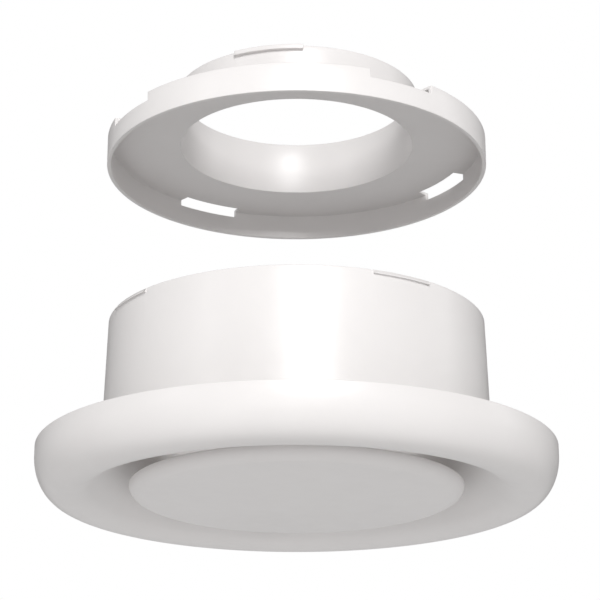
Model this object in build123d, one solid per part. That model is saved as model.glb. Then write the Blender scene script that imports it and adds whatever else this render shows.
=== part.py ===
from build123d import *
import os
from math import sin, cos, radians, sqrt

# Round ceiling air valve with a clip-on duct adapter, shown with the adapter lifted off its collar.
# Millimetres. +Z is the valve's axis and points up, from the room into the duct.
# Origin: on the axis, in the plane of the rim's back edge, which is the ceiling plane.

os.makedirs("parts", exist_ok=True)

# ---------------------------------------------------------------- driving dimensions
# rim, lip and inlet funnel
RIM_R = 100.1          # rim outer radius
RIM_WALL_H = 4.05      # straight wall at the rim's back edge
LIP_R = 89.0           # radius of the lip's lowest circle
LIP_Z = -19.5          # lowest point of the lip
LIP_IN_R = 15.0        # radius of the lip's inner arc
THROAT_R = 62.0        # clear radius of the throat
THROAT_ARC = 14.0      # radius of the arc that turns the 45 degree cone into the throat
THROAT_TOP = 10.5      # top edge of the throat
WALL = 1.8             # moulded wall

# collar
COLLAR_R = 73.7        # at its top; it widens downward to COLLAR_ROOT_R, as moulding draft
COLLAR_ROOT_R = 74.8   # from DRAFT_Z down to the rim
DRAFT_Z = 14.0
COLLAR_TOP = 50.8
LUG_PHASE = 31.5       # angle of the first lug and of the first adapter slot
LUG_SPAN = 19.0
LUG_R = 74.6
LUG_H = 1.8

# duct adapter
AD_Z0 = 117.9          # lower edge of the adapter's cup
AD_R = 76.5
AD_IN_R = 74.85
AD_FLOOR_Z = AD_Z0 + 10.25
AD_TOP_Z = AD_Z0 + 11.5
SPIGOT_R = 49.35
SPIGOT_IN_R = 47.05    # bore at the spigot's lower edge
SPIGOT_TIP_R = 45.8    # bore of the spigot's upper half, straight
BORE_LEN = 10.0        # length of the straight bore
SPIGOT_TOP = AD_Z0 + 32.0
SLOT_SPAN = 20.7
SLOT_IN_R = 70.5
SLOT_Z = AD_Z0 + 8.0
BARB_PHASE = -102.8
BARB_SPAN = 31.5
BARB_PROUD = 1.6
PLUG_TRAVEL = 77.1     # adapter travel from here to fully clipped on

# bridge and its screws
ARM_COUNT = 4
FOOT_Z = 14.0
FOOT_T = 3.0
ARM_W = 3.0
ARM_TOP = 24.0
HUB_R = 12.0
HUB_Z0 = 10.0
HUB_Z1 = 26.0
SCREW_PCR = 67.6       # radius of the screw circle
BOSS_R = 3.9
PILOT_R = 1.5

# spindle and the pieces on it
SPINDLE_R = 6.0        # thread major radius
PITCH = 4.0
THREAD_GAP = 0.05
BUSH_R = 8.5
SPINDLE_TOP = 57.0
STEM_R = 4.95          # plain lower end, inside the disc's boss
PIN_R = 1.25
PIN_Z = -8.5
NUT_R = 14.0
NUT_H = 8.0
WASHER_R = 12.0
STOP_R = 10.5

# disc
DISC_FACE_Z = -18.1
DISC_R = 64.1
DISC_EDGE_A = 6.5      # width and height of the rounded edge, a quarter ellipse
DISC_EDGE_B = 4.6
DISC_CAMBER = 1.2      # the face bulges down by this at its middle
DISC_WALL = 2.0
DISC_TOP = -12.9
DISC_BOSS_R = 9.5
DISC_BOSS_TOP = -3.0

# gasket
GASKET_R0, GASKET_R1 = 80.0, 96.5
GASKET_Z0, GASKET_Z1 = -3.5, 0.6


def rz(r, z):
    return (r, 0, z)


def spin(edges, angle=360.0):
    """Closed outline in the X-Z plane, turned about Z."""
    return revolve(Face(Wire(edges)), axis=Axis.Z, revolution_arc=angle)


def poly_spin(pts, angle=360.0):
    pts = [rz(*p) for p in pts]
    edges = [Line(pts[i], pts[(i + 1) % len(pts)]) for i in range(len(pts))]
    return spin(edges, angle)


def sector(pts, centre_deg, span_deg):
    """Outline turned through span_deg and centred on centre_deg."""
    return Rot(0, 0, centre_deg - span_deg / 2) * poly_spin(pts, span_deg)


def arc_pt(cx, cz, r, deg):
    return rz(cx + r * cos(radians(deg)), cz + r * sin(radians(deg)))


def arc(cx, cz, r, a0, a1):
    am = (a0 + a1) / 2
    return ThreePointArc(arc_pt(cx, cz, r, a0), arc_pt(cx, cz, r, am), arc_pt(cx, cz, r, a1))


def ell(cx, cz, a, b):
    """Quarter ellipse from its outermost point down to its lowest point."""
    pts = [rz(cx + a * cos(radians(t)), cz - b * sin(radians(t))) for t in range(0, 91, 10)]
    return Spline(*pts, tangents=[(0, 0, -1), (-1, 0, 0)])


def solid_of(shape):
    s = shape.solids()
    return s[0] if len(s) == 1 else Compound(children=list(s))


def out(shape, name):
    shape.label = name
    export_step(shape, "parts/%s.step" % name)


# ---------------------------------------------------------------- valve housing
ell_cz = -RIM_WALL_H
ell_a, ell_b = RIM_R - LIP_R, -LIP_Z - RIM_WALL_H
in_cz = LIP_Z + LIP_IN_R
# 45 degree point of the lip's inner arc, front and back of the wall
f45 = (LIP_R - LIP_IN_R * sin(radians(45)), in_cz - LIP_IN_R * cos(radians(45)))
ln = f45[0] + f45[1]
th_cr = THROAT_R + THROAT_ARC
g45r = th_cr - THROAT_ARC * cos(radians(45))
g45 = (g45r, ln - g45r)
th_cz = g45[1] + THROAT_ARC * sin(radians(45))
bi = LIP_IN_R - WALL
b45 = (LIP_R - bi * sin(radians(45)), in_cz - bi * cos(radians(45)))
bt = THROAT_ARC - WALL
c45 = (th_cr - bt * cos(radians(45)), th_cz - bt * sin(radians(45)))

ell_out = ell(LIP_R, ell_cz, ell_a, ell_b)
ell_in = ell(LIP_R, ell_cz, ell_a - WALL, ell_b - WALL)

shell = spin([
    Line(rz(RIM_R - WALL, 0), rz(RIM_R, 0)),
    Line(rz(RIM_R, 0), rz(RIM_R, ell_cz)),
    ell_out,
    arc(LIP_R, in_cz, LIP_IN_R, -90, -135),
    Line(rz(*f45), rz(*g45)),
    arc(th_cr, th_cz, THROAT_ARC, -135, -180),
    Line(rz(THROAT_R, th_cz), rz(THROAT_R, THROAT_TOP)),
    Line(rz(THROAT_R, THROAT_TOP), rz(THROAT_R + WALL, THROAT_TOP)),
    Line(rz(THROAT_R + WALL, THROAT_TOP), rz(THROAT_R + WALL, th_cz)),
    arc(th_cr, th_cz, bt, -180, -135),
    Line(rz(*c45), rz(*b45)),
    arc(LIP_R, in_cz, bi, -135, -90),
    ell_in,
    Line(rz(RIM_R - WALL, ell_cz), rz(RIM_R - WALL, 0)),
])

cin = COLLAR_R - WALL
root_in = COLLAR_ROOT_R - WALL
back = c45[0] + c45[1]
collar = poly_spin([
    (root_in, back - root_in - 1.3), (COLLAR_ROOT_R, back - COLLAR_ROOT_R - 1.3), (COLLAR_ROOT_R, DRAFT_Z),
    (COLLAR_R, COLLAR_TOP - 0.4), (COLLAR_R - 0.4, COLLAR_TOP),
    (cin + 0.4, COLLAR_TOP), (cin, COLLAR_TOP - 0.4), (root_in, DRAFT_Z),
])

# lead-in on top of each lug, flat catch underneath
lug_pts = [(COLLAR_R - 0.6, COLLAR_TOP), (COLLAR_R + 0.1, COLLAR_TOP), (LUG_R, COLLAR_TOP - 1.1),
           (LUG_R, COLLAR_TOP - LUG_H), (COLLAR_R - 0.6, COLLAR_TOP - LUG_H)]
lugs = [sector(lug_pts, LUG_PHASE + 90 * k, LUG_SPAN) for k in range(4)]

# radial stiffeners in the hollow back of the rim, flush with the gasket's seat
mid = WALL / 2
rib_pts = [(COLLAR_ROOT_R - mid, GASKET_Z0), (COLLAR_ROOT_R - mid, -8.5), (79.0, -14.5), (83.0, -17.1),
           (LIP_R, LIP_Z + mid), (94.0, -16.6), (98.0, -11.0), (RIM_R - mid, -4.5), (RIM_R - mid, GASKET_Z0)]
rib_face = Face(Wire([Line(rz(*rib_pts[i]), rz(*rib_pts[(i + 1) % len(rib_pts)])) for i in range(len(rib_pts))]))
rib = extrude(rib_face, amount=0.7, dir=(0, 1, 0), both=True)
ribs = [Rot(0, 0, 15 + 30 * k) * rib for k in range(12)]

# screw bosses between the throat and the collar
boss_h = FOOT_Z + 9.0
bosses = [Rot(0, 0, 90 * k) * Pos(SCREW_PCR, 0, FOOT_Z - boss_h / 2) * Cylinder(BOSS_R, boss_h) for k in range(4)]

air = spin([
    Line(rz(0, LIP_Z - 8), rz(LIP_R, LIP_Z - 8)),
    Line(rz(LIP_R, LIP_Z - 8), rz(LIP_R, LIP_Z)),
    arc(LIP_R, in_cz, LIP_IN_R, -90, -135),
    Line(rz(*f45), rz(*g45)),
    arc(th_cr, th_cz, THROAT_ARC, -135, -180),
    Line(rz(THROAT_R, th_cz), rz(THROAT_R, 20)),
    Line(rz(THROAT_R, 20), rz(0, 20)),
    Line(rz(0, 20), rz(0, LIP_Z - 8)),
])
housing = shell + collar
for s in bosses:
    housing = housing + s
housing = housing - air
for s in ribs + lugs:
    housing = housing + s
for k in range(4):
    housing = housing - Rot(0, 0, 90 * k) * Pos(SCREW_PCR, 0, FOOT_Z - 5.5 + 0.5) * Cylinder(PILOT_R, 12.0)
out(solid_of(housing), "valve_housing")

# ---------------------------------------------------------------- foam gasket behind the rim
e = 0.7
gasket = poly_spin([
    (GASKET_R0, GASKET_Z0), (GASKET_R1, GASKET_Z0), (GASKET_R1, GASKET_Z1 - e), (GASKET_R1 - e, GASKET_Z1),
    (GASKET_R0 + e, GASKET_Z1), (GASKET_R0, GASKET_Z1 - e)])
out(solid_of(gasket), "rim_gasket")

# ---------------------------------------------------------------- bridge
bridge = Pos(0, 0, (HUB_Z0 + HUB_Z1) / 2) * Cylinder(HUB_R, HUB_Z1 - HUB_Z0)
bridge = chamfer(bridge.edges().filter_by(GeomType.CIRCLE), 0.8)
arm_pts = [(HUB_R - 2.0, FOOT_Z - 1.5), (22.0, FOOT_Z), (63.0, FOOT_Z), (63.0, FOOT_Z + FOOT_T + 0.6),
           (58.0, ARM_TOP - 2.5), (24.0, ARM_TOP), (HUB_R - 2.0, ARM_TOP)]
arm_face = Face(Wire([Line(rz(*arm_pts[i]), rz(*arm_pts[(i + 1) % len(arm_pts)])) for i in range(len(arm_pts))]))
arm = extrude(arm_face, amount=ARM_W / 2, dir=(0, 1, 0), both=True)
foot_end = 70.9
foot = Pos((58 + foot_end - 4.5) / 2, 0, FOOT_Z + FOOT_T / 2) * Box(foot_end - 4.5 - 58, 9.0, FOOT_T)
foot = foot + Pos(foot_end - 4.5, 0, FOOT_Z + FOOT_T / 2) * Cylinder(4.5, FOOT_T)
foot = foot - Pos(SCREW_PCR, 0, FOOT_Z + FOOT_T / 2) * Cylinder(1.9, FOOT_T + 2)
one = arm + foot
for k in range(ARM_COUNT):
    bridge = bridge + Rot(0, 0, 90 * k) * one
bridge = bridge - Pos(0, 0, (HUB_Z0 + HUB_Z1) / 2) * Cylinder(BUSH_R + 0.02, HUB_Z1 - HUB_Z0 + 4)
out(solid_of(bridge), "bridge")

# ---------------------------------------------------------------- bridge screws
head_z = FOOT_Z + FOOT_T
head = Pos(0, 0, head_z + 1.1) * Cylinder(3.1, 2.2)
head = fillet(head.edges().filter_by(GeomType.CIRCLE).sort_by(Axis.Z)[-1], 1.0)
screw = head + Pos(0, 0, head_z - 4.75) * Cylinder(1.45, 9.5)
tip = Pos(0, 0, head_z - 10.25) * Cone(0.5, 1.45, 1.5)
screw = screw + tip
screw = screw - Pos(0, 0, head_z + 1.7) * Box(3.2, 0.8, 1.6) - Pos(0, 0, head_z + 1.7) * Box(0.8, 3.2, 1.6)
screws = [Rot(0, 0, 90 * k) * Pos(SCREW_PCR, 0, 0) * screw for k in range(4)]
out(Compound(children=[solid_of(s) for s in screws]), "bridge_screws")

# ---------------------------------------------------------------- threaded bush in the hub
bush = poly_spin([
    (SPINDLE_R + THREAD_GAP, HUB_Z0), (BUSH_R, HUB_Z0), (BUSH_R, HUB_Z1), (10.5, HUB_Z1),
    (10.5, HUB_Z1 + 1.2), (10.2, HUB_Z1 + 1.5), (SPINDLE_R + THREAD_GAP, HUB_Z1 + 1.5)])
out(solid_of(bush), "spindle_bush")

# ---------------------------------------------------------------- lock washer and lock nut
lw0 = HUB_Z1 + 1.5 + 0.1
lw1 = lw0 + 1.5
lock_washer = poly_spin([(SPINDLE_R + 0.3, lw0), (WASHER_R, lw0), (WASHER_R, lw1), (SPINDLE_R + 0.3, lw1)])
out(solid_of(lock_washer), "lock_washer")
nz0 = lw1 + 0.1
nz1 = nz0 + NUT_H
nut = Pos(0, 0, (nz0 + nz1) / 2) * Cylinder(NUT_R, NUT_H)
nut = chamfer(nut.edges().filter_by(GeomType.CIRCLE), 1.0)
for k in range(8):
    nut = nut - Rot(0, 0, 45 * k) * Pos(NUT_R + 1.6, 0, (nz0 + nz1) / 2) * Cylinder(3.4, NUT_H + 2)
nut = nut - Pos(0, 0, (nz0 + nz1) / 2) * Cylinder(SPINDLE_R + THREAD_GAP, NUT_H + 2)
out(solid_of(nut), "lock_nut")

# ---------------------------------------------------------------- stop washer and clip at the spindle's top
sw0 = 51.5
sw1 = sw0 + 1.2
stop_washer = poly_spin([(SPINDLE_R + 0.08, sw0), (STOP_R, sw0), (STOP_R, sw1), (SPINDLE_R + 0.08, sw1)])
out(solid_of(stop_washer), "stop_washer")
cz0 = sw1 + 0.3
cz1 = cz0 + 1.2
GROOVE_R = 4.8
clip = Pos(0, 0, (cz0 + cz1) / 2) * Cylinder(9.0, cz1 - cz0)
clip = clip - Pos(0, 0, (cz0 + cz1) / 2) * Cylinder(GROOVE_R + 0.05, 4)
clip = clip - Pos(7, 0, (cz0 + cz1) / 2) * Box(14, 7.6, 4)
for s in (-1, 1):
    clip = clip - Rot(0, 0, 180 + s * 55) * Pos(5.6, 0, (cz0 + cz1) / 2) * Cylinder(1.4, 4)
out(solid_of(clip), "stop_clip")

# ---------------------------------------------------------------- spindle
spindle = poly_spin([
    (0, -13.6), (STEM_R - 0.5, -13.6), (STEM_R, -13.1), (STEM_R, DISC_BOSS_TOP), (SPINDLE_R, DISC_BOSS_TOP),
    (SPINDLE_R, cz0 - 0.05), (GROOVE_R, cz0 - 0.05), (GROOVE_R, cz1 + 0.05), (SPINDLE_R - 0.2, cz1 + 0.05),
    (SPINDLE_R - 0.2, SPINDLE_TOP - 0.8), (SPINDLE_R - 1.0, SPINDLE_TOP), (0, SPINDLE_TOP)])
spindle = spindle - Pos(0, 0, PIN_Z) * Rot(90, 0, 0) * Cylinder(PIN_R + 0.02, 30)
out(solid_of(spindle), "spindle")

# ---------------------------------------------------------------- disc
dc_r = DISC_R - DISC_EDGE_A
dc_z = DISC_FACE_Z + DISC_EDGE_B
bk_z = DISC_FACE_Z + DISC_WALL


def bulge(r):
    """How far the face and the back hang below their edges, at a radius."""
    return DISC_CAMBER * (1 - (r / dc_r) ** 2)


rim_in = DISC_R - DISC_WALL
e_pts = [rz(dc_r + DISC_EDGE_A * cos(radians(t)), dc_z - DISC_EDGE_B * sin(radians(t))) for t in range(0, 91, 10)]
i_pts = [rz(dc_r + (rim_in - dc_r) * cos(radians(t)), dc_z - (DISC_EDGE_B - DISC_WALL) * sin(radians(t))) for t in range(0, 91, 10)]
r_in = DISC_BOSS_R
r_mid = (dc_r + r_in) / 2
disc = spin([
    ThreePointArc(rz(0, DISC_FACE_Z - DISC_CAMBER), rz(dc_r / 2, DISC_FACE_Z - bulge(dc_r / 2)), rz(dc_r, DISC_FACE_Z)),
    Spline(*e_pts, tangents=[(0, 0, -1), (-1, 0, 0)]),
    Line(rz(DISC_R, dc_z), rz(DISC_R, DISC_TOP - 0.4)),
    Line(rz(DISC_R, DISC_TOP - 0.4), rz(DISC_R - 0.4, DISC_TOP)),
    Line(rz(DISC_R - 0.4, DISC_TOP), rz(rim_in + 0.3, DISC_TOP)),
    Line(rz(rim_in + 0.3, DISC_TOP), rz(rim_in, DISC_TOP - 0.3)),
    Line(rz(rim_in, DISC_TOP - 0.3), rz(rim_in, dc_z)),
    Spline(*i_pts, tangents=[(0, 0, -1), (-1, 0, 0)]),
    ThreePointArc(rz(dc_r, bk_z), rz(r_mid, bk_z - bulge(r_mid)), rz(r_in, bk_z - bulge(r_in))),
    Line(rz(r_in, bk_z - bulge(r_in)), rz(DISC_BOSS_R - 0.5, DISC_BOSS_TOP - 0.02)),
    Line(rz(DISC_BOSS_R - 0.5, DISC_BOSS_TOP - 0.02), rz(STEM_R + 0.03, DISC_BOSS_TOP - 0.02)),
    Line(rz(STEM_R + 0.03, DISC_BOSS_TOP - 0.02), rz(STEM_R + 0.03, -14.0)),
    Line(rz(STEM_R + 0.03, -14.0), rz(0, -14.0)),
    Line(rz(0, -14.0), rz(0, DISC_FACE_Z - DISC_CAMBER)),
])
drib_pts = [(DISC_BOSS_R - 1.5, bk_z - 1.7), (57.0, bk_z - 0.8), (61.0, -15.8), (62.8, -14.2), (62.8, -13.3),
            (30.0, -12.6), (DISC_BOSS_R - 1.5, -7.0)]
drib_face = Face(Wire([Line(rz(*drib_pts[i]), rz(*drib_pts[(i + 1) % len(drib_pts)])) for i in range(len(drib_pts))]))
drib = extrude(drib_face, amount=0.8, dir=(0, 1, 0), both=True)
for k in range(4):
    disc = disc + Rot(0, 0, 90 * k) * drib
disc = disc - Pos(0, 0, PIN_Z) * Rot(90, 0, 0) * Cylinder(PIN_R + 0.02, 2 * DISC_BOSS_R + 4)
disc = disc - Pos(0, 0, (-14.0 + DISC_BOSS_TOP) / 2) * Cylinder(STEM_R + 0.03, DISC_BOSS_TOP + 14.0)
out(solid_of(disc), "disc")
pin = Pos(0, 0, PIN_Z) * Rot(90, 0, 0) * (Cylinder(PIN_R, 17.6) - Cylinder(0.7, 20))
out(solid_of(pin), "spindle_pin")

# ---------------------------------------------------------------- duct adapter
F = 0.3                # rounding of the hole's lower edge
G = 2.0                # rounding at the spigot's root
adapter = spin([
    Line(rz(AD_IN_R + 0.3, AD_Z0), rz(AD_R - 0.3, AD_Z0)),
    Line(rz(AD_R - 0.3, AD_Z0), rz(AD_R, AD_Z0 + 0.3)),
    Line(rz(AD_R, AD_Z0 + 0.3), rz(AD_R, AD_TOP_Z - 0.5)),
    arc(AD_R - 0.5, AD_TOP_Z - 0.5, 0.5, 0, 90),
    Line(rz(AD_R - 0.5, AD_TOP_Z), rz(SPIGOT_R + G, AD_TOP_Z)),
    arc(SPIGOT_R + G, AD_TOP_Z + G, G, -90, -180),
    Line(rz(SPIGOT_R, AD_TOP_Z + G), rz(SPIGOT_R, SPIGOT_TOP - 0.3)),
    Line(rz(SPIGOT_R, SPIGOT_TOP - 0.3), rz(SPIGOT_R - 0.3, SPIGOT_TOP)),
    Line(rz(SPIGOT_R - 0.3, SPIGOT_TOP), rz(SPIGOT_TIP_R + 0.3, SPIGOT_TOP)),
    Line(rz(SPIGOT_TIP_R + 0.3, SPIGOT_TOP), rz(SPIGOT_TIP_R, SPIGOT_TOP - 0.3)),
    Line(rz(SPIGOT_TIP_R, SPIGOT_TOP - 0.3), rz(SPIGOT_TIP_R, SPIGOT_TOP - 0.3 - BORE_LEN)),
    Line(rz(SPIGOT_TIP_R, SPIGOT_TOP - 0.3 - BORE_LEN), rz(SPIGOT_IN_R, AD_FLOOR_Z + F)),
    arc(SPIGOT_IN_R + F, AD_FLOOR_Z + F, F, 180, 270),
    Line(rz(SPIGOT_IN_R + F, AD_FLOOR_Z), rz(AD_IN_R, AD_FLOOR_Z)),
    Line(rz(AD_IN_R, AD_FLOOR_Z), rz(AD_IN_R, AD_Z0 + 0.3)),
    Line(rz(AD_IN_R, AD_Z0 + 0.3), rz(AD_IN_R + 0.3, AD_Z0)),
])
for k in range(4):
    adapter = adapter - sector([(SLOT_IN_R, SLOT_Z), (AD_R + 3, SLOT_Z), (AD_R + 3, AD_TOP_Z + 2), (SLOT_IN_R, AD_TOP_Z + 2)],
                               LUG_PHASE + 90 * k, SLOT_SPAN)
barb_pts = [(SPIGOT_R - 0.8, SPIGOT_TOP), (SPIGOT_R + BARB_PROUD - 0.4, SPIGOT_TOP), (SPIGOT_R + BARB_PROUD, SPIGOT_TOP - 0.3),
            (SPIGOT_R + BARB_PROUD, SPIGOT_TOP - 1.9), (SPIGOT_R - 0.8, SPIGOT_TOP - 1.9)]
for k in range(3):
    adapter = adapter + sector(barb_pts, BARB_PHASE + 120 * k, BARB_SPAN)
out(solid_of(adapter), "duct_adapter")
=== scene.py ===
import bpy
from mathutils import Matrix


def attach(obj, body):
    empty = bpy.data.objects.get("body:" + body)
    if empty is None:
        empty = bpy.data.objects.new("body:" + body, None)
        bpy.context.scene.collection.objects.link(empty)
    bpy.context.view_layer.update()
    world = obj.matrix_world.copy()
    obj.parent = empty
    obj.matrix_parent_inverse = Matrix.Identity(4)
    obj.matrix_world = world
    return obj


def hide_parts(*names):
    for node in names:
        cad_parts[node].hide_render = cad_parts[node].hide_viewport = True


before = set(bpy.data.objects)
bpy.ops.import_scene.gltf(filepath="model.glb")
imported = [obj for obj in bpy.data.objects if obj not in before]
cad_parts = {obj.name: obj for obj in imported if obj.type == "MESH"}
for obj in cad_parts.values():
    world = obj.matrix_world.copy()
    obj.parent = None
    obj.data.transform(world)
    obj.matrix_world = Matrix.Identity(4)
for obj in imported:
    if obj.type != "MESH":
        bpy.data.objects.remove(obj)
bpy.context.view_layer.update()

import bpy, bmesh, math, random
from math import sin, cos, pi, radians, degrees, sqrt, hypot
from mathutils import Vector, Matrix, noise

MM = 0.001
random.seed(7)
scene = bpy.context.scene

# ------------------------------------------------------------------ dimensions, mm, as in the CAD
RIM_R, RIM_WALL_H = 100.1, 4.05
LIP_R, LIP_Z, LIP_IN_R = 89.0, -19.5, 15.0
THROAT_R, THROAT_ARC, THROAT_TOP = 62.0, 14.0, 10.5
WALL = 1.8
COLLAR_R, COLLAR_ROOT_R, DRAFT_Z, COLLAR_TOP = 73.7, 74.8, 14.0, 50.8
LUG_PHASE, LUG_SPAN, LUG_R, LUG_H = 31.5, 19.0, 74.6, 1.8
AD_Z0 = 117.9
AD_R, AD_IN_R = 76.5, 74.85
AD_FLOOR_Z, AD_TOP_Z = AD_Z0 + 10.25, AD_Z0 + 11.5
SPIGOT_R, SPIGOT_IN_R, SPIGOT_TIP_R, SPIGOT_TOP = 49.35, 47.05, 45.8, AD_Z0 + 32.0
SLOT_SPAN, SLOT_IN_R, SLOT_Z = 20.7, 70.5, AD_Z0 + 8.0
BARB_PHASE, BARB_SPAN, BARB_PROUD = -102.8, 31.5, 1.6
FOOT_Z, FOOT_T, ARM_W, ARM_TOP = 14.0, 3.0, 3.0, 24.0
HUB_R, HUB_Z0, HUB_Z1 = 12.0, 10.0, 26.0
SCREW_PCR, BOSS_R, PILOT_R = 67.6, 3.9, 1.5
SPINDLE_R, PITCH, THREAD_GAP = 6.0, 4.0, 0.05
BUSH_R = 8.5
SPINDLE_TOP, STEM_R, PIN_R, PIN_Z = 57.0, 4.95, 1.25, -8.5
NUT_R, NUT_H = 14.0, 8.0
WASHER_R, STOP_R = 12.0, 10.5
DISC_FACE_Z, DISC_R, DISC_EDGE_A, DISC_EDGE_B, DISC_CAMBER, DISC_WALL = -18.1, 64.1, 6.5, 4.6, 1.2, 2.0
DISC_TOP, DISC_BOSS_R, DISC_BOSS_TOP = -12.9, 9.5, -3.0
GASKET_R0, GASKET_R1, GASKET_Z0, GASKET_Z1 = 80.0, 96.5, -3.5, 0.6
LW0 = HUB_Z1 + 1.6
LW1 = LW0 + 1.5
NZ0 = LW1 + 0.1
NZ1 = NZ0 + NUT_H
SW0, SW1 = 51.5, 52.7
CZ0, CZ1, GROOVE_R = 53.0, 54.2, 4.8


# ------------------------------------------------------------------ node helpers
class Mat:
    def __init__(self, name):
        self.m = bpy.data.materials.new(name)
        self.m.use_nodes = True
        self.nt = self.m.node_tree
        self.bsdf = self.nt.nodes["Principled BSDF"]
        self.out = self.nt.nodes["Material Output"]
        tc = self.nt.nodes.new("ShaderNodeTexCoord")
        self.co = tc.outputs["Object"]

    def node(self, kind, **inputs):
        n = self.nt.nodes.new(kind)
        for k, v in inputs.items():
            if hasattr(n, k):
                setattr(n, k, v)
        return n

    def link(self, a, b):
        self.nt.links.new(a, b)

    def noise(self, scale, detail=3.0, rough=0.55, vec=None, distortion=0.0):
        n = self.nt.nodes.new("ShaderNodeTexNoise")
        n.inputs["Scale"].default_value = scale
        n.inputs["Detail"].default_value = detail
        n.inputs["Roughness"].default_value = rough
        n.inputs["Distortion"].default_value = distortion
        self.link(vec if vec is not None else self.co, n.inputs["Vector"])
        return n.outputs["Fac"]

    def ramp(self, fac, lo, hi, a, b):
        n = self.nt.nodes.new("ShaderNodeMapRange")
        n.inputs["From Min"].default_value = lo
        n.inputs["From Max"].default_value = hi
        n.inputs["To Min"].default_value = a
        n.inputs["To Max"].default_value = b
        self.link(fac, n.inputs["Value"])
        return n.outputs["Result"]

    def mixcol(self, fac, a, b):
        n = self.nt.nodes.new("ShaderNodeMix")
        n.data_type = "RGBA"
        self.link(fac, n.inputs["Factor"])
        n.inputs[6].default_value = (*a, 1)
        n.inputs[7].default_value = (*b, 1)
        return n.outputs[2]

    def bump(self, height, strength, dist, chain=None):
        n = self.nt.nodes.new("ShaderNodeBump")
        n.inputs["Strength"].default_value = strength
        n.inputs["Distance"].default_value = dist
        self.link(height, n.inputs["Height"])
        if chain is not None:
            self.link(chain, n.inputs["Normal"])
        return n.outputs["Normal"]

    def math(self, op, a, b):
        n = self.nt.nodes.new("ShaderNodeMath")
        n.operation = op
        for i, v in enumerate((a, b)):
            if isinstance(v, (int, float)):
                n.inputs[i].default_value = v
            else:
                self.link(v, n.inputs[i])
        return n.outputs[0]


def plastic(name, a, b, rough=(0.30, 0.38), grain=2600.0, grain_strength=0.05, sss=0.0, ior=1.5):
    """Moulded plastic: a faint flow mottle, a fine spark-eroded grain and slightly uneven gloss."""
    m = Mat(name)
    big = m.noise(18.0, 4.0, 0.6, distortion=0.6)
    m.link(m.mixcol(m.ramp(big, 0.35, 0.65, 0.0, 1.0), a, b), m.bsdf.inputs["Base Color"])
    mid = m.noise(140.0, 3.0, 0.5)
    m.link(m.ramp(mid, 0.3, 0.7, rough[0], rough[1]), m.bsdf.inputs["Roughness"])
    fine = m.noise(grain, 2.0, 0.5)
    n1 = m.bump(fine, grain_strength, 0.00005)
    n2 = m.bump(big, 0.06, 0.0006, n1)
    m.link(n2, m.bsdf.inputs["Normal"])
    m.bsdf.inputs["IOR"].default_value = ior
    if sss:
        m.bsdf.inputs["Subsurface Weight"].default_value = sss
        m.bsdf.inputs["Subsurface Radius"].default_value = (1.0, 0.85, 0.7)
        m.bsdf.inputs["Subsurface Scale"].default_value = 0.0008
    return m.m


def metal(name, a, b, rough, brushed=0.15, scale=1.0):
    """Plated or turned metal: fine turning marks round Z, and uneven plating."""
    m = Mat(name)
    blot = m.noise(220.0 * scale, 4.0, 0.6)
    m.link(m.mixcol(m.ramp(blot, 0.35, 0.7, 0.0, 1.0), a, b), m.bsdf.inputs["Base Color"])
    m.bsdf.inputs["Metallic"].default_value = 1.0
    m.link(m.ramp(blot, 0.3, 0.7, rough[0], rough[1]), m.bsdf.inputs["Roughness"])
    sep = m.nt.nodes.new("ShaderNodeSeparateXYZ")
    m.link(m.co, sep.inputs[0])
    r2 = m.math("ADD", m.math("MULTIPLY", sep.outputs[0], sep.outputs[0]), m.math("MULTIPLY", sep.outputs[1], sep.outputs[1]))
    r = m.math("SQRT", r2, 0.0)
    comb = m.nt.nodes.new("ShaderNodeCombineXYZ")
    m.link(m.math("MULTIPLY", r, 1.0), comb.inputs[0])
    m.link(sep.outputs[2], comb.inputs[1])
    lines = m.noise(6000.0, 2.0, 0.5, vec=comb.outputs[0])
    m.link(m.bump(lines, brushed, 0.00003), m.bsdf.inputs["Normal"])
    return m.m


def foam_mat(name):
    """Closed-cell foam: small cells whose pits are darkened with painted shade, and a dry, rough skin."""
    m = Mat(name)
    vor = m.nt.nodes.new("ShaderNodeTexVoronoi")
    vor.inputs["Scale"].default_value = 1500.0
    m.link(m.co, vor.inputs["Vector"])
    cell = vor.outputs["Distance"]
    blot = m.noise(60.0, 4.0, 0.6)
    # painted shade: the base colour darkens towards each cell's centre, where the bump sinks the pit
    pit_shade = m.ramp(cell, 0.05, 0.55, 0.0, 1.0)
    pit_shade_and_blot = m.math("ADD", m.math("MULTIPLY", pit_shade, 0.6), m.math("MULTIPLY", blot, 0.4))
    m.link(m.mixcol(pit_shade_and_blot, (0.46, 0.46, 0.45), (0.66, 0.65, 0.63)), m.bsdf.inputs["Base Color"])
    m.link(m.ramp(cell, 0.0, 0.6, 0.95, 0.75), m.bsdf.inputs["Roughness"])
    n1 = m.bump(cell, 0.5, 0.0003)
    m.link(m.bump(blot, 0.25, 0.0012, n1), m.bsdf.inputs["Normal"])
    m.bsdf.inputs["Sheen Weight"].default_value = 0.15
    return m.m


ABS_A, ABS_B = (0.750, 0.727, 0.719), (0.770, 0.747, 0.739)
abs_housing = plastic("abs_white_housing", ABS_A, ABS_B)
abs_disc = plastic("abs_white_disc", ABS_A, ABS_B, grain=3000.0)
abs_adapter = plastic("abs_white_adapter", ABS_A, ABS_B, grain=2400.0)
pom_white = plastic("natural_white_acetal", (0.80, 0.79, 0.75), (0.84, 0.83, 0.79), rough=(0.26, 0.36), grain=4200.0, sss=0.0)
nut_plastic = plastic("lock_nut_plastic", (0.80, 0.79, 0.77), (0.84, 0.83, 0.81), rough=(0.34, 0.44), grain=5200.0, grain_strength=0.12)
zinc = metal("zinc_plate", (0.62, 0.64, 0.66), (0.72, 0.74, 0.77), (0.22, 0.38))
spring = metal("phosphated_spring_steel", (0.16, 0.16, 0.17), (0.26, 0.26, 0.28), (0.34, 0.5), brushed=0.25)
brass = metal("turned_brass", (0.71, 0.52, 0.24), (0.80, 0.62, 0.32), (0.18, 0.32), brushed=0.3)
foam = foam_mat("gasket_foam")


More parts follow.
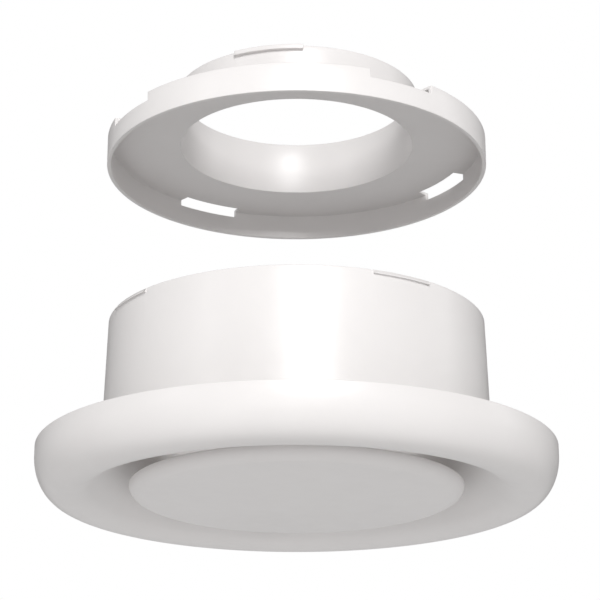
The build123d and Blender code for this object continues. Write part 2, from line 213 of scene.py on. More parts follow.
# ------------------------------------------------------------------ mesh helpers
def arc(cx, cz, r, a0, a1, n):
    return [(cx + r * cos(radians(a0 + (a1 - a0) * i / n)), cz + r * sin(radians(a0 + (a1 - a0) * i / n))) for i in range(n + 1)]


def line(p, q, n):
    return [(p[0] + (q[0] - p[0]) * i / n, p[1] + (q[1] - p[1]) * i / n) for i in range(n + 1)]


def joined(*runs):
    out = []
    for run in runs:
        for p in run:
            if not out or hypot(p[0] - out[-1][0], p[1] - out[-1][1]) > 1e-4:
                out.append(p)
    if hypot(out[0][0] - out[-1][0], out[0][1] - out[-1][1]) < 1e-4:
        out.pop()
    return out


def rounded(pts, radii, n=4):
    """A closed outline with its corners rounded to the given radii."""
    out = []
    k = len(pts)
    for i in range(k):
        p0, p, p1 = Vector(pts[i - 1]), Vector(pts[i]), Vector(pts[(i + 1) % k])
        r = radii[i] if isinstance(radii, (list, tuple)) else radii
        if r <= 0:
            out.append((p.x, p.y))
            continue
        a, b = (p0 - p).normalized(), (p1 - p).normalized()
        ang = a.angle(b)
        if ang > pi - 1e-3:
            out.append((p.x, p.y))
            continue
        t = r / math.tan(ang / 2)
        t = min(t, 0.49 * (p0 - p).length, 0.49 * (p1 - p).length)
        r = t * math.tan(ang / 2)
        c = p + (a + b).normalized() * (r / sin(ang / 2))
        s, e = p + a * t, p + b * t
        a0 = math.atan2(s.y - c.y, s.x - c.x)
        a1 = math.atan2(e.y - c.y, e.x - c.x)
        d = (a1 - a0 + pi) % (2 * pi) - pi
        for j in range(n + 1):
            out.append((c.x + r * cos(a0 + d * j / n), c.y + r * sin(a0 + d * j / n)))
    return out


def new_obj(name, bm, mat, sharp=32.0):
    bmesh.ops.recalc_face_normals(bm, faces=bm.faces)
    me = bpy.data.meshes.new(name)
    bm.to_mesh(me)
    bm.free()
    for p in me.polygons:
        p.use_smooth = True
    me.set_sharp_from_angle(angle=radians(sharp))
    o = bpy.data.objects.new(name, me)
    scene.collection.objects.link(o)
    me.materials.append(mat)
    return o


def apply_mods(o, sharp=32.0):
    dg = bpy.context.evaluated_depsgraph_get()
    me = bpy.data.meshes.new_from_object(o.evaluated_get(dg))
    old = o.data
    o.modifiers.clear()
    o.data = me
    me.name = old.name
    bpy.data.meshes.remove(old)
    for p in me.polygons:
        p.use_smooth = True
    me.set_sharp_from_angle(angle=radians(sharp))
    return o


def bevel(o, width, segments=2, angle=40.0, sharp=32.0):
    b = o.modifiers.new("edge", "BEVEL")
    b.width = width * MM
    b.segments = segments
    b.limit_method = "ANGLE"
    b.angle_limit = radians(angle)
    b.harden_normals = False
    return apply_mods(o, sharp)


def boolean(o, others, op):
    """Unions others with o, or cuts them away, and removes them."""
    bpy.context.view_layer.update()
    for c in others:
        b = o.modifiers.new("b", "BOOLEAN")
        b.operation = op
        b.object = c
        b.solver = "EXACT"
    apply_mods(o)
    for c in others:
        me = c.data
        bpy.data.objects.remove(c)
        bpy.data.meshes.remove(me)
    bm = bmesh.new()
    bm.from_mesh(o.data)
    bmesh.ops.remove_doubles(bm, verts=bm.verts, dist=2e-6)
    bmesh.ops.dissolve_degenerate(bm, edges=bm.edges, dist=1e-6)
    bm.to_mesh(o.data)
    bm.free()
    for p in o.data.polygons:
        p.use_smooth = True
    o.data.set_sharp_from_angle(angle=radians(32))
    return o


def sector_lathe(name, intervals, caps, mat, step=1.25, sharp=32.0):
    """intervals: (start, end, loops) in degrees round a whole turn. caps: (angle, outline). Loops share their points, so the mesh closes."""
    bm = bmesh.new()
    verts = {}

    def v(p, a):
        key = (round(p[0], 4), round(p[1], 4), round(a % 360.0, 4) % 360.0)
        if key not in verts:
            t = radians(a)
            verts[key] = bm.verts.new((p[0] * cos(t) * MM, p[0] * sin(t) * MM, p[1] * MM))
        return verts[key]

    for a0, a1, loops in intervals:
        n = max(1, int(round((a1 - a0) / step)))
        for j in range(n):
            s, e = a0 + (a1 - a0) * j / n, a0 + (a1 - a0) * (j + 1) / n
            for lp in loops:
                for i in range(len(lp)):
                    p, q = lp[i], lp[(i + 1) % len(lp)]
                    f = []
                    for w in (v(p, s), v(q, s), v(q, e), v(p, e)):
                        if w not in f:
                            f.append(w)
                    if len(f) > 2:
                        bm.faces.new(f)
    for a, outline in caps:
        bm.faces.new([v(p, a) for p in outline])
    return new_obj(name, bm, mat, sharp)


def lathe(name, loop, mat, step=1.25, sharp=32.0):
    """A closed outline turned about Z. Points on the axis become one point."""
    bm = bmesh.new()
    n = int(round(360 / step))
    ax = {}
    rings = []
    for r, z in loop:
        if r < 1e-6:
            rings.append([bm.verts.new((0, 0, z * MM))] * n)
        else:
            rings.append([bm.verts.new((r * cos(2 * pi * k / n) * MM, r * sin(2 * pi * k / n) * MM, z * MM)) for k in range(n)])
    m = len(loop)
    for i in range(m):
        a, b = rings[i], rings[(i + 1) % m]
        if loop[i][0] < 1e-6 and loop[(i + 1) % m][0] < 1e-6:
            continue
        for k in range(n):
            f = []
            for w in (a[k], b[k], b[(k + 1) % n], a[(k + 1) % n]):
                if w not in f:
                    f.append(w)
            if len(f) > 2:
                bm.faces.new(f)
    return new_obj(name, bm, mat, sharp)


def prism(name, outline, half, mat, rot=0.0):
    """An outline in the r-z plane, made 2 * half thick and turned to an angle about Z."""
    bm = bmesh.new()
    t = radians(rot)
    sides = []
    for s in (-half, half):
        sides.append([bm.verts.new(((r * cos(t) - s * sin(t)) * MM, (r * sin(t) + s * cos(t)) * MM, z * MM)) for r, z in outline])
    bm.faces.new(sides[0])
    bm.faces.new(list(reversed(sides[1])))
    n = len(outline)
    for i in range(n):
        bm.faces.new([sides[0][i], sides[1][i], sides[1][(i + 1) % n], sides[0][(i + 1) % n]])
    return new_obj(name, bm, mat)


def plan_prism(name, outline, z0, z1, mat, rot=0.0):
    """An outline in plan, x and y, from z0 to z1."""
    bm = bmesh.new()
    t = radians(rot)
    rings = [[bm.verts.new(((x * cos(t) - y * sin(t)) * MM, (x * sin(t) + y * cos(t)) * MM, z * MM)) for x, y in outline] for z in (z0, z1)]
    bm.faces.new(rings[0])
    bm.faces.new(rings[1])
    n = len(outline)
    for i in range(n):
        bm.faces.new([rings[0][i], rings[0][(i + 1) % n], rings[1][(i + 1) % n], rings[1][i]])
    return new_obj(name, bm, mat)


def circle(cx, cy, r, n=48, a0=0.0):
    return [(cx + r * cos(a0 + 2 * pi * k / n), cy + r * sin(a0 + 2 * pi * k / n)) for k in range(n)]


def done(o, body, *nodes, slot=None):
    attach(o, body)
    if nodes:
        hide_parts(*nodes)
    return o


# ------------------------------------------------------------------ camera, as the photograph was taken
cam_data = bpy.data.cameras.new("camera")
cam = bpy.data.objects.new("camera", cam_data)
scene.collection.objects.link(cam)
cam_data.sensor_width = 36.0
cam_data.lens = 1926.4 / 600 * 36.0
cam_data.shift_x = (300 - 296.59) / 600
cam.location = (0.0, -0.72024, -0.18793)
cam.rotation_euler = (pi / 2 + 0.3351, 0, 0)
cam_data.clip_start, cam_data.clip_end = 0.01, 200.0
scene.camera = cam

# ------------------------------------------------------------------ valve housing
ell_cz = -RIM_WALL_H
ell_a, ell_b = RIM_R - LIP_R, -LIP_Z - RIM_WALL_H
in_cz = LIP_Z + LIP_IN_R
s45 = sin(radians(45))
f45 = (LIP_R - LIP_IN_R * s45, in_cz - LIP_IN_R * s45)
ln = f45[0] + f45[1]
th_cr = THROAT_R + THROAT_ARC
g45 = (th_cr - THROAT_ARC * s45, ln - (th_cr - THROAT_ARC * s45))
th_cz = g45[1] + THROAT_ARC * s45
bi, bt = LIP_IN_R - WALL, THROAT_ARC - WALL
b45 = (LIP_R - bi * s45, in_cz - bi * s45)
c45 = (th_cr - bt * s45, th_cz - bt * s45)
cin = COLLAR_R - WALL
root_in = COLLAR_ROOT_R - WALL


def draft(z, inner=0.0):
    """Collar radius at a height, less the wall for the inside."""
    return COLLAR_R + (COLLAR_ROOT_R - COLLAR_R) * min(1.0, (COLLAR_TOP - z) / (COLLAR_TOP - DRAFT_Z)) - inner


back = c45[0] + c45[1]


def quarter(a, b, n=20):
    return [(LIP_R + a * cos(pi / 2 * i / n), ell_cz - b * sin(pi / 2 * i / n)) for i in range(n + 1)]


def housing_loop(lug):
    top = COLLAR_TOP
    lug_run = [(LUG_R, top - LUG_H), (LUG_R, top - 1.1)] if lug else []
    return joined(
        [(RIM_R, 0.0)],
        quarter(ell_a, ell_b, 24),
        arc(LIP_R, in_cz, LIP_IN_R, -90, -135, 14),
        line(f45, g45, 5),
        arc(th_cr, th_cz, THROAT_ARC, -135, -180, 14),
        [(THROAT_R, THROAT_TOP), (THROAT_R + WALL, THROAT_TOP)],
        arc(th_cr, th_cz, bt, -180, -135, 10),
        [(c45[0], c45[1]), (root_in - 0.9, back - root_in + 0.9)],
        arc(root_in - 0.9, back - root_in + 0.9 + 1.27, 1.27, -45, 0, 3)[1:],
        [(root_in, DRAFT_Z), (draft(32.0, WALL), 32.0), (cin, top), (COLLAR_R, top)],
        lug_run,
        [(draft(top - LUG_H), top - LUG_H), (draft(32.0), 32.0), (COLLAR_ROOT_R, DRAFT_Z), (COLLAR_ROOT_R, back - COLLAR_ROOT_R + 0.9)],
        [(COLLAR_ROOT_R + 0.9, back - COLLAR_ROOT_R - 0.9)],
        [(b45[0], b45[1])],
        arc(LIP_R, in_cz, bi, -135, -90, 12),
        list(reversed(quarter(ell_a - WALL, ell_b - WALL, 20))),
        [(RIM_R - WALL, 0.0)],
    )


def phases(first, span, count):
    return [((first + 360.0 / count * k - span / 2) % 360.0, (first + 360.0 / count * k + span / 2) % 360.0) for k in range(count)]


def inside(a, spans):
    a %= 360.0
    return any((s <= a <= e) if s < e else (a >= s or a <= e) for s, e in spans)


lug_spans = phases(LUG_PHASE, LUG_SPAN, 4)
cuts = sorted({round(x, 4) for sp in lug_spans for x in sp})
ivs = []
for i, a in enumerate(cuts):
    b = cuts[(i + 1) % len(cuts)]
    if b <= a:
        b += 360.0
    ivs.append((a, b, [housing_loop(inside((a + b) / 2, lug_spans))]))
lug_cap = [(COLLAR_R, COLLAR_TOP), (LUG_R, COLLAR_TOP - 1.1), (LUG_R, COLLAR_TOP - LUG_H), (draft(COLLAR_TOP - LUG_H), COLLAR_TOP - LUG_H)]
housing = sector_lathe("housing_moulding", ivs, [(c, lug_cap) for c in cuts], abs_housing, step=1.2)
bevel(housing, 0.28, 3, 42)

rib_out = [(COLLAR_ROOT_R - 0.6, GASKET_Z0), (COLLAR_ROOT_R - 0.6, -8.3), (79.0, -14.5), (83.0, -17.1), (LIP_R, LIP_Z + 0.9),
           (94.0, -16.6), (98.0, -11.0), (RIM_R - 0.8, -4.5), (RIM_R - 0.8, GASKET_Z0)]
extra = [prism("rib", rib_out, 0.7, abs_housing, 15 + 30 * k) for k in range(12)]
for k in range(4):
    t = radians(90 * k)
    c = circle(SCREW_PCR * cos(t), SCREW_PCR * sin(t), BOSS_R, 40, 0.1)
    boss = plan_prism("boss", c, -9.0, FOOT_Z, abs_housing)
    mid = 0.9
    air = lathe("air", joined(
        [(0.0, -12.0), (ln + mid * sqrt(2) + 12.0, -12.0)],
        arc(th_cr, th_cz, THROAT_ARC - mid, -135, -180, 12),
        [(THROAT_R + mid, 30.0), (0.0, 30.0)],
    ), abs_housing, step=2.5)
    boolean(boss, [air], "DIFFERENCE")
    extra.append(boss)
boolean(housing, extra, "UNION")
holes = [plan_prism("hole", circle(SCREW_PCR * cos(radians(90 * k)), SCREW_PCR * sin(radians(90 * k)), PILOT_R, 28), 3.0, FOOT_Z + 3, abs_housing) for k in range(4)]
boolean(housing, holes, "DIFFERENCE")
done(housing, "valve_body", "valve_housing", slot="white_plastic")

# ------------------------------------------------------------------ duct adapter
F, G, BORE_LEN = 0.3, 2.0, 10.0


def adapter_loops(slot, barb):
    top = SPIGOT_TOP
    spig = [(SPIGOT_R, AD_TOP_Z + 10), (SPIGOT_R, top - 1.9)]
    if barb:
        spig += [(SPIGOT_R + BARB_PROUD, top - 1.9), (SPIGOT_R + BARB_PROUD, top)]
    spig += [(SPIGOT_R, top), (SPIGOT_TIP_R, top), (SPIGOT_TIP_R, top - 0.3 - BORE_LEN)]
    inner = joined(spig, arc(SPIGOT_IN_R + F, AD_FLOOR_Z + F, F, 180, 270, 4), [(60.0, AD_FLOOR_Z), (SLOT_IN_R, AD_FLOOR_Z)])
    outer = joined([(SLOT_IN_R, AD_TOP_Z), (60.0, AD_TOP_Z)], arc(SPIGOT_R + G, AD_TOP_Z + G, G, -90, -180, 6))
    wall_in = [(AD_IN_R, AD_FLOOR_Z), (AD_IN_R, SLOT_Z), (AD_IN_R, AD_Z0 + 4), (AD_IN_R, AD_Z0)]
    wall_out = [(AD_R, AD_Z0), (AD_R, AD_Z0 + 4), (AD_R, SLOT_Z), (AD_R, AD_TOP_Z)]
    if not slot:
        return [joined(inner, wall_in, wall_out, outer)]
    return [joined(inner, outer), joined(wall_in[1:], wall_out[:3])]


slot_spans = phases(LUG_PHASE, SLOT_SPAN, 4)
barb_spans = phases(BARB_PHASE, BARB_SPAN, 3)
slot_cuts = sorted({round(x, 4) for sp in slot_spans for x in sp})
barb_cuts = sorted({round(x, 4) for sp in barb_spans for x in sp})
cuts = sorted(set(slot_cuts) | set(barb_cuts))
ivs = []
for i, a in enumerate(cuts):
    b = cuts[(i + 1) % len(cuts)]
    if b <= a:
        b += 360.0
    m = (a + b) / 2
    ivs.append((a, b, adapter_loops(inside(m, slot_spans), inside(m, barb_spans))))
slot_cap = [(SLOT_IN_R, AD_FLOOR_Z), (AD_IN_R, AD_FLOOR_Z), (AD_IN_R, SLOT_Z), (AD_R, SLOT_Z), (AD_R, AD_TOP_Z), (SLOT_IN_R, AD_TOP_Z)]
barb_cap = [(SPIGOT_R, SPIGOT_TOP - 1.9), (SPIGOT_R + BARB_PROUD, SPIGOT_TOP - 1.9), (SPIGOT_R + BARB_PROUD, SPIGOT_TOP), (SPIGOT_R, SPIGOT_TOP)]
adapter = sector_lathe("adapter_moulding", ivs, [(c, slot_cap) for c in slot_cuts] + [(c, barb_cap) for c in barb_cuts], abs_adapter, step=1.2)
bevel(adapter, 0.26, 3, 42)
done(adapter, "adapter", "duct_adapter", slot="white_plastic")

# ------------------------------------------------------------------ disc
dc_r, dc_z = DISC_R - DISC_EDGE_A, DISC_FACE_Z + DISC_EDGE_B
bk_z, rim_in = DISC_FACE_Z + DISC_WALL, DISC_R - DISC_WALL


def bulge(r):
    return DISC_CAMBER * (1 - (r / dc_r) ** 2)


def quarter_edge(a, b, n):
    """From the widest point of a rounded edge down to where the flat begins."""
    return [(dc_r + a * cos(pi / 2 * i / n), dc_z - b * sin(pi / 2 * i / n)) for i in range(n + 1)]


disc_loop = joined(
    [(0.0, DISC_FACE_Z - DISC_CAMBER)], [(r, DISC_FACE_Z - bulge(r)) for r in [4.0 + (dc_r - 4.0) * i / 14 for i in range(15)]],
    list(reversed(quarter_edge(DISC_EDGE_A, DISC_EDGE_B, 16))),
    [(DISC_R, DISC_TOP - 0.45)], arc(DISC_R - 0.45, DISC_TOP - 0.45, 0.45, 0, 90, 4),
    arc(rim_in + 0.3, DISC_TOP - 0.3, 0.3, 90, 180, 4),
    quarter_edge(rim_in - dc_r, DISC_EDGE_B - DISC_WALL, 12),
    [(r, bk_z - bulge(r)) for r in (50.0, 40.0, 30.0, 20.0, DISC_BOSS_R + 1.3)],
    arc(DISC_BOSS_R + 1.2, bk_z - bulge(DISC_BOSS_R) + 1.25, 1.25, -90, -175, 4)[1:],
    [(DISC_BOSS_R - 0.5, DISC_BOSS_TOP - 0.5)], arc(DISC_BOSS_R - 1.0, DISC_BOSS_TOP - 0.5, 0.48, 0, 90, 3),
    [(STEM_R + 0.03, DISC_BOSS_TOP - 0.02), (STEM_R + 0.03, -14.0), (0.0, -14.0)],
)
disc = lathe("disc_moulding", disc_loop, abs_disc, step=1.25, sharp=24.0)
drib = [(DISC_BOSS_R - 1.5, bk_z - 1.7), (57.0, bk_z - 0.8), (61.0, -15.8), (62.8, -14.2), (62.8, -13.3), (30.0, -12.6), (DISC_BOSS_R - 1.5, -7.0)]
boolean(disc, [prism("drib", drib, 0.8, abs_disc, 90 * k) for k in range(4)], "UNION")
done(disc, "disc_body", "disc", slot="white_plastic")


# ------------------------------------------------------------------ spindle, with its real thread
def spindle_mesh():
    bm = bmesh.new()
    n = 72
    root = SPINDLE_R - 1.15
    z0, z1 = DISC_BOSS_TOP + 2.0, CZ0 - 1.0
    turns = (z1 - z0) / PITCH
    # one turn's section: share of the pitch, and radius
    sec = [(0.00, root), (0.16, root), (0.24, root + 0.45), (0.32, SPINDLE_R - 0.12), (0.36, SPINDLE_R), (0.50, SPINDLE_R),
           (0.58, SPINDLE_R), (0.62, SPINDLE_R - 0.12), (0.70, root + 0.45), (0.78, root)]
    k0, k1 = -2, int(turns) + 2
    rows = []
    low = [(0.0, -13.6), (STEM_R - 0.5, -13.6), (STEM_R - 0.15, -13.45), (STEM_R, -13.1), (STEM_R, -9.0), (STEM_R, DISC_BOSS_TOP - 0.05),
           (STEM_R, DISC_BOSS_TOP), (SPINDLE_R - 0.3, DISC_BOSS_TOP), (SPINDLE_R, DISC_BOSS_TOP + 0.3), (SPINDLE_R, DISC_BOSS_TOP + 1.2), (root, z0)]
    high = [(root, z1), (SPINDLE_R, CZ0 - 0.45), (SPINDLE_R, CZ0 - 0.2), (SPINDLE_R - 0.15, CZ0 - 0.05), (GROOVE_R, CZ0 - 0.05), (GROOVE_R, CZ1 + 0.05), (SPINDLE_R - 0.35, CZ1 + 0.05),
            (SPINDLE_R - 0.2, CZ1 + 0.2), (SPINDLE_R - 0.2, SPINDLE_TOP - 0.9), (SPINDLE_R - 0.3, SPINDLE_TOP - 0.5), (SPINDLE_R - 1.0, SPINDLE_TOP), (2.0, SPINDLE_TOP), (1.6, SPINDLE_TOP - 0.5), (0.0, SPINDLE_TOP - 0.7)]
    cols = []
    for j in range(n):
        t = 2 * pi * j / n
        col = [(r, z) for r, z in low]
        for k in range(k0, k1 + 1):
            for s, r in sec:
                z = z0 + PITCH * (k + s + j / n)
                fade = min(1.0, max(0.0, (z - z0) / 1.6), ) * min(1.0, max(0.0, (z1 - z) / 1.6))
                rr = root + (r - root) * fade
                col.append((rr, min(max(z, z0), z1)))
        col += high
        cols.append(col)
    grid = [[bm.verts.new((r * cos(2 * pi * j / n) * MM, r * sin(2 * pi * j / n) * MM, z * MM)) for r, z in cols[j]] for j in range(n)]
    m = len(cols[0])
    per = len(sec)
    nl, nh = len(low), len(high)
    for j in range(n):
        jn = (j + 1) % n
        # the last column meets the first one turn further on, so its thread rows step by one turn
        shift = per if jn == 0 else 0
        a, b = grid[j], grid[jn]
        for i in range(m - 1):
            ib, ib1 = i, i + 1
            if shift:
                if nl <= i < m - nh:
                    ib = min(i + shift, m - nh)
                if nl <= i + 1 < m - nh:
                    ib1 = min(i + 1 + shift, m - nh)
            f = []
            for w in (a[i], a[i + 1], b[ib1], b[ib]):
                if w not in f:
                    f.append(w)
            if len(f) > 2:
                try:
                    bm.faces.new(f)
                except ValueError:
                    pass
    bmesh.ops.remove_doubles(bm, verts=bm.verts, dist=2e-6)
    bmesh.ops.dissolve_degenerate(bm, edges=bm.edges, dist=1e-6)
    return bm


spindle = new_obj("spindle_screw", spindle_mesh(), pom_white, 40)
done(spindle, "disc_body", "spindle", slot="white_plastic")

# ------------------------------------------------------------------ bridge
hub = lathe("bridge_moulding", rounded([(HUB_R, HUB_Z0), (HUB_R, HUB_Z1), (BUSH_R + 0.02, HUB_Z1), (BUSH_R + 0.02, HUB_Z0)], [0.8, 0.8, 0.15, 0.15], 4), pom_white, step=2.5)
arm_out = rounded([(HUB_R - 1.6, FOOT_Z - 1.5), (22.0, FOOT_Z), (63.0, FOOT_Z), (63.0, FOOT_Z + FOOT_T + 0.6), (58.0, ARM_TOP - 2.5),
                   (24.0, ARM_TOP), (HUB_R - 1.6, ARM_TOP)], [0, 3, 0.2, 0.5, 3.0, 3, 0], 4)
parts = []
for k in range(4):
    a = prism("arm", arm_out, ARM_W / 2, pom_white, 90 * k)
    bevel(a, 0.35, 2, 50)
    end = 70.9 - 4.5
    foot_plan = rounded([(57.6, -4.5), (end, -4.5), (end, 4.5), (57.6, 4.5)], [0.8, 0, 0, 0.8], 3)
    foot_plan = [p for p in foot_plan if p[0] < end - 0.01] 
    foot_plan = foot_plan[:len(foot_plan) // 2] + [(end + 4.5 * cos(radians(t)), 4.5 * sin(radians(t))) for t in range(-90, 91, 10)] + foot_plan[len(foot_plan) // 2:]
    foot_plan = sorted(set((round(x, 4), round(y, 4)) for x, y in foot_plan), key=lambda p: math.atan2(p[1], p[0] - 63.0))
    ft = plan_prism("foot", foot_plan, FOOT_Z, FOOT_Z + FOOT_T, pom_white, 90 * k)
    bevel(ft, 0.4, 2, 50)
    parts += [a, ft]
boolean(hub, parts, "UNION")
boolean(hub, [plan_prism("hole", [(x * cos(radians(90 * k)) - y * sin(radians(90 * k)), x * sin(radians(90 * k)) + y * cos(radians(90 * k))) for x, y in circle(SCREW_PCR, 0, 1.9, 32)], FOOT_Z - 2, FOOT_Z + FOOT_T + 2, pom_white) for k in range(4)], "DIFFERENCE")
done(hub, "valve_body", "bridge", slot="white_plastic")

# ------------------------------------------------------------------ bush, washers, lock nut
bush = lathe("bush_turned", rounded([(SPINDLE_R + THREAD_GAP, HUB_Z0), (BUSH_R, HUB_Z0), (BUSH_R, HUB_Z1), (10.5, HUB_Z1), (10.5, HUB_Z1 + 1.5), (SPINDLE_R + THREAD_GAP, HUB_Z1 + 1.5)],
             [0.2, 0.3, 0.0, 0.15, 0.35, 0.3], 4), brass, step=3.0)
done(bush, "valve_body", "spindle_bush", slot="brass_insert")
lw = lathe("lock_washer_plate", rounded([(SPINDLE_R + 0.3, LW0), (WASHER_R, LW0), (WASHER_R, LW1), (SPINDLE_R + 0.3, LW1)], 0.25, 3), zinc, step=3.0)
done(lw, "lock_link", "lock_washer", slot="zinc_steel")
sw = lathe("stop_washer_plate", rounded([(SPINDLE_R + 0.08, SW0), (STOP_R, SW0), (STOP_R, SW1), (SPINDLE_R + 0.08, SW1)], 0.22, 3), zinc, step=3.0)
done(sw, "stop_link", "stop_washer", slot="zinc_steel")


def nut_mesh():
    """Hand nut with eight finger hollows, domed and rounded edges."""
    bm = bmesh.new()
    n = 288
    prof = rounded([(SPINDLE_R + THREAD_GAP, NZ0), (NUT_R, NZ0), (NUT_R, NZ1), (NUT_R - 3.2, NZ1), (NUT_R - 4.0, NZ1 - 0.6), (SPINDLE_R + THREAD_GAP, NZ1 - 0.6)],
                   [0.4, 1.0, 1.3, 0.5, 0.4, 0.5], 5)
    rings = []
    for r, z in prof:
        ring = []
        for k in range(n):
            t = 2 * pi * k / n
            # distance of the hollows' edge along this ray
            d = (t + pi / 8) % (pi / 4) - pi / 8
            c, rc = NUT_R + 1.6, 3.4
            disc_ = rc * rc - (c * sin(d)) ** 2
            lim = NUT_R
            if disc_ > 0:
                lim = min(lim, c * cos(d) - sqrt(disc_))
            else:
                # outside each hollow the nut keeps its full radius
                lim = NUT_R
            w = max(0.0, min(1.0, (r - (NUT_R - 3.0)) / 3.0))
            rr = r - w * (NUT_R - lim)
            ring.append(bm.verts.new((rr * cos(t) * MM, rr * sin(t) * MM, z * MM)))
        rings.append(ring)
    m = len(prof)
    for i in range(m):
        a, b = rings[i], rings[(i + 1) % m]
        for k in range(n):
            bm.faces.new([a[k], b[k], b[(k + 1) % n], a[(k + 1) % n]])
    return bm


nut = new_obj("lock_nut_moulding", nut_mesh(), nut_plastic, 38)
done(nut, "lock_nut_body", "lock_nut", slot="white_plastic")


# ------------------------------------------------------------------ foam gasket
def gasket_mesh():
    bm = bmesh.new()
    n = 900
    base = rounded([(GASKET_R0 + 0.15, GASKET_Z0 + 0.02), (GASKET_R1 - 0.15, GASKET_Z0 + 0.02), (GASKET_R1 - 0.15, GASKET_Z1 - 0.12), (GASKET_R0 + 0.15, GASKET_Z1 - 0.12)], [0.5, 0.5, 1.0, 1.0], 5)
    prof = []
    for i, p in enumerate(base):
        q = base[(i + 1) % len(base)]
        k = max(1, int(hypot(q[0] - p[0], q[1] - p[1]) / 0.9))
        prof += line(p, q, k)[:-1]
    cr, cz = (GASKET_R0 + GASKET_R1) / 2, (GASKET_Z0 + GASKET_Z1) / 2
    rings = []
    for r, z in prof:
        ring = []
        for k in range(n):
            t = 2 * pi * k / n
            x, y = r * cos(t), r * sin(t)
            w = noise.noise(Vector((x * 0.9, y * 0.9, z * 0.9))) * 0.09 + noise.noise(Vector((x * 0.12, y * 0.12, 5.0))) * 0.05
            w = min(0.11, w)
            nr, nz = (r - cr), (z - cz)
            ln_ = max(abs(nr) / 8.0, abs(nz) / 2.0, 0.4)
            dr, dz = (w * (1 if nr > 0 else -1) * (1 if abs(nr) > 7.6 else 0)), (w * (1 if nz > 0 else -1) * (1 if abs(nz) > 1.6 else 0))
            rr, zz = r + dr, z + dz
            ring.append(bm.verts.new((rr * cos(t) * MM, rr * sin(t) * MM, zz * MM)))
        rings.append(ring)
    m = len(prof)
    for i in range(m):
        a, b = rings[i], rings[(i + 1) % m]
        for k in range(n):
            bm.faces.new([a[k], b[k], b[(k + 1) % n], a[(k + 1) % n]])
    return bm


gasket = new_obj("gasket_foam_ring", gasket_mesh(), foam, 60)
done(gasket, "valve_body", "rim_gasket", slot="foam")

# ------------------------------------------------------------------ small steel pieces keep their CAD shape
for node, mat in (("bridge_screws", zinc), ("stop_clip", spring), ("spindle_pin", spring)):
    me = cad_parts[node].data
    me.materials.clear()
    me.materials.append(mat)

# ------------------------------------------------------------------ floor, light
FLOOR, FLOOR_GLOW = 0.62, 0.39
LOBES = {"front": 0.27, "back": 0.0, "left": 0.97, "right": 0.65, "top": 0.0}
LIGHTS = [
    ("front_high", 7.0, 21.0, 1.50, 0.50, 0.55, 16.0),
    ("left_strip", -53.0, 20.0, 1.40, 0.06, 0.60, 0.85),
    ("side_strip", 97.0, 18.0, 1.30, 0.10, 0.70, 0.71),
    ("front_low", 0.0, -8.0, 1.60, 0.90, 0.30, 2.1),
]
floor_bm = bmesh.new()
ring0 = None
for r in (0.5, 1.5, 3.0, 6.0, 12.0, 40.0):
    ring = [floor_bm.verts.new((r * cos(2 * pi * k / 96), r * sin(2 * pi * k / 96), -0.75)) for k in range(96)]
    if ring0 is None:
        floor_bm.faces.new(ring)
    else:
        for k in range(96):
            floor_bm.faces.new([ring0[k], ring[k], ring[(k + 1) % 96], ring0[(k + 1) % 96]])
    ring0 = ring
fm = Mat("pale_floor")
fnn = fm.ramp(fm.noise(3.0, 4.0), 0.3, 0.7, 0.0, 1.0)
fm.link(fm.mixcol(fnn, (FLOOR - 0.01,) * 3, (FLOOR + 0.01,) * 3), fm.bsdf.inputs["Base Color"])
fm.bsdf.inputs["Roughness"].default_value = 0.85
fm.bsdf.inputs["Emission Color"].default_value = (1.0, 1.0, 1.0, 1)
fm.bsdf.inputs["Emission Strength"].default_value = FLOOR_GLOW
floor = new_obj("floor", floor_bm, fm.m)

# studio: a soft sky made of five broad lobes, and plain white as seen by the camera
world = bpy.data.worlds.new("studio")
scene.world = world
world.use_nodes = True
wn = world.node_tree
wn.nodes.clear()


def wmath(op, a, b):
    n = wn.nodes.new("ShaderNodeMath")
    n.operation = op
    for i, v in enumerate((a, b)):
        if isinstance(v, (int, float)):
            n.inputs[i].default_value = v
        else:
            wn.links.new(v, n.inputs[i])
    return n.outputs[0]


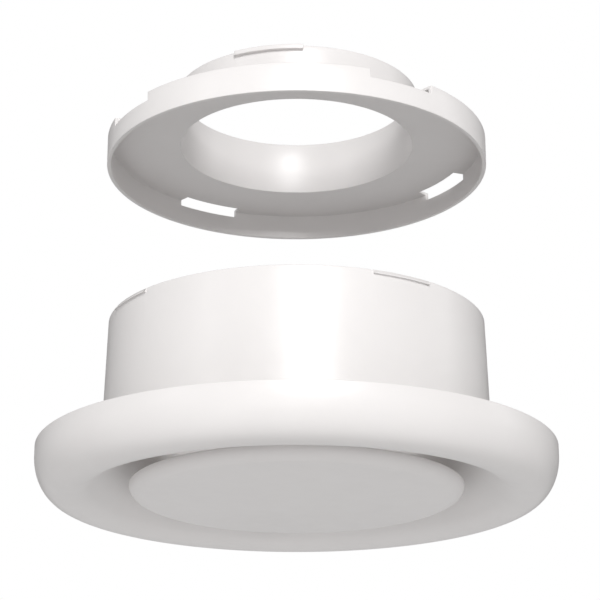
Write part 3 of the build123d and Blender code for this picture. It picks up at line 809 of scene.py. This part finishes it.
def lobe(axis_out, sign, weight):
    """weight times the squared direction component, on one side only."""
    c = wmath("MAXIMUM", wmath("MULTIPLY", axis_out, float(sign)), 0.0)
    return wmath("MULTIPLY", wmath("MULTIPLY", c, c), float(weight))


wo = wn.nodes.new("ShaderNodeOutputWorld")
tc = wn.nodes.new("ShaderNodeTexCoord")
sep = wn.nodes.new("ShaderNodeSeparateXYZ")
wn.links.new(tc.outputs["Generated"], sep.inputs[0])
sx, sy, sz = sep.outputs[0], sep.outputs[1], sep.outputs[2]
parts_w = [lobe(sy, -1, LOBES["front"]), lobe(sy, 1, LOBES["back"]), lobe(sx, -1, LOBES["left"]), lobe(sx, 1, LOBES["right"]), lobe(sz, 1, LOBES["top"])]
total = parts_w[0]
for w in parts_w[1:]:
    total = wmath("ADD", total, w)
bg_light = wn.nodes.new("ShaderNodeBackground")
wn.links.new(total, bg_light.inputs["Strength"])
bg_seen = wn.nodes.new("ShaderNodeBackground")
bg_seen.inputs["Strength"].default_value = 1.0
for b in (bg_light, bg_seen):
    b.inputs["Color"].default_value = (1.0, 1.0, 1.0, 1)
lp = wn.nodes.new("ShaderNodeLightPath")
mix = wn.nodes.new("ShaderNodeMixShader")
wn.links.new(lp.outputs["Is Camera Ray"], mix.inputs[0])
wn.links.new(bg_light.outputs[0], mix.inputs[1])
wn.links.new(bg_seen.outputs[0], mix.inputs[2])
wn.links.new(mix.outputs[0], wo.inputs["Surface"])
scene.view_settings.view_transform = "Standard"
scene.view_settings.look = "None"


def area(name, azimuth, elevation, dist, size, size_y, power, target=(0, 0, 0.05)):
    """A soft box. Azimuth 0 is in front of the object, on the camera's side, and 90 is to its right."""
    a, e = radians(azimuth), radians(elevation)
    t = Vector(target)
    loc = t + dist * Vector((sin(a) * cos(e), -cos(a) * cos(e), sin(e)))
    d = bpy.data.lights.new(name, "AREA")
    d.shape = "RECTANGLE"
    d.size, d.size_y = size, size_y
    d.energy = power
    o = bpy.data.objects.new(name, d)
    o.location = loc
    o.rotation_euler = (t - loc).to_track_quat("-Z", "Y").to_euler()
    scene.collection.objects.link(o)
    return o


for args in LIGHTS:
    area(*args)
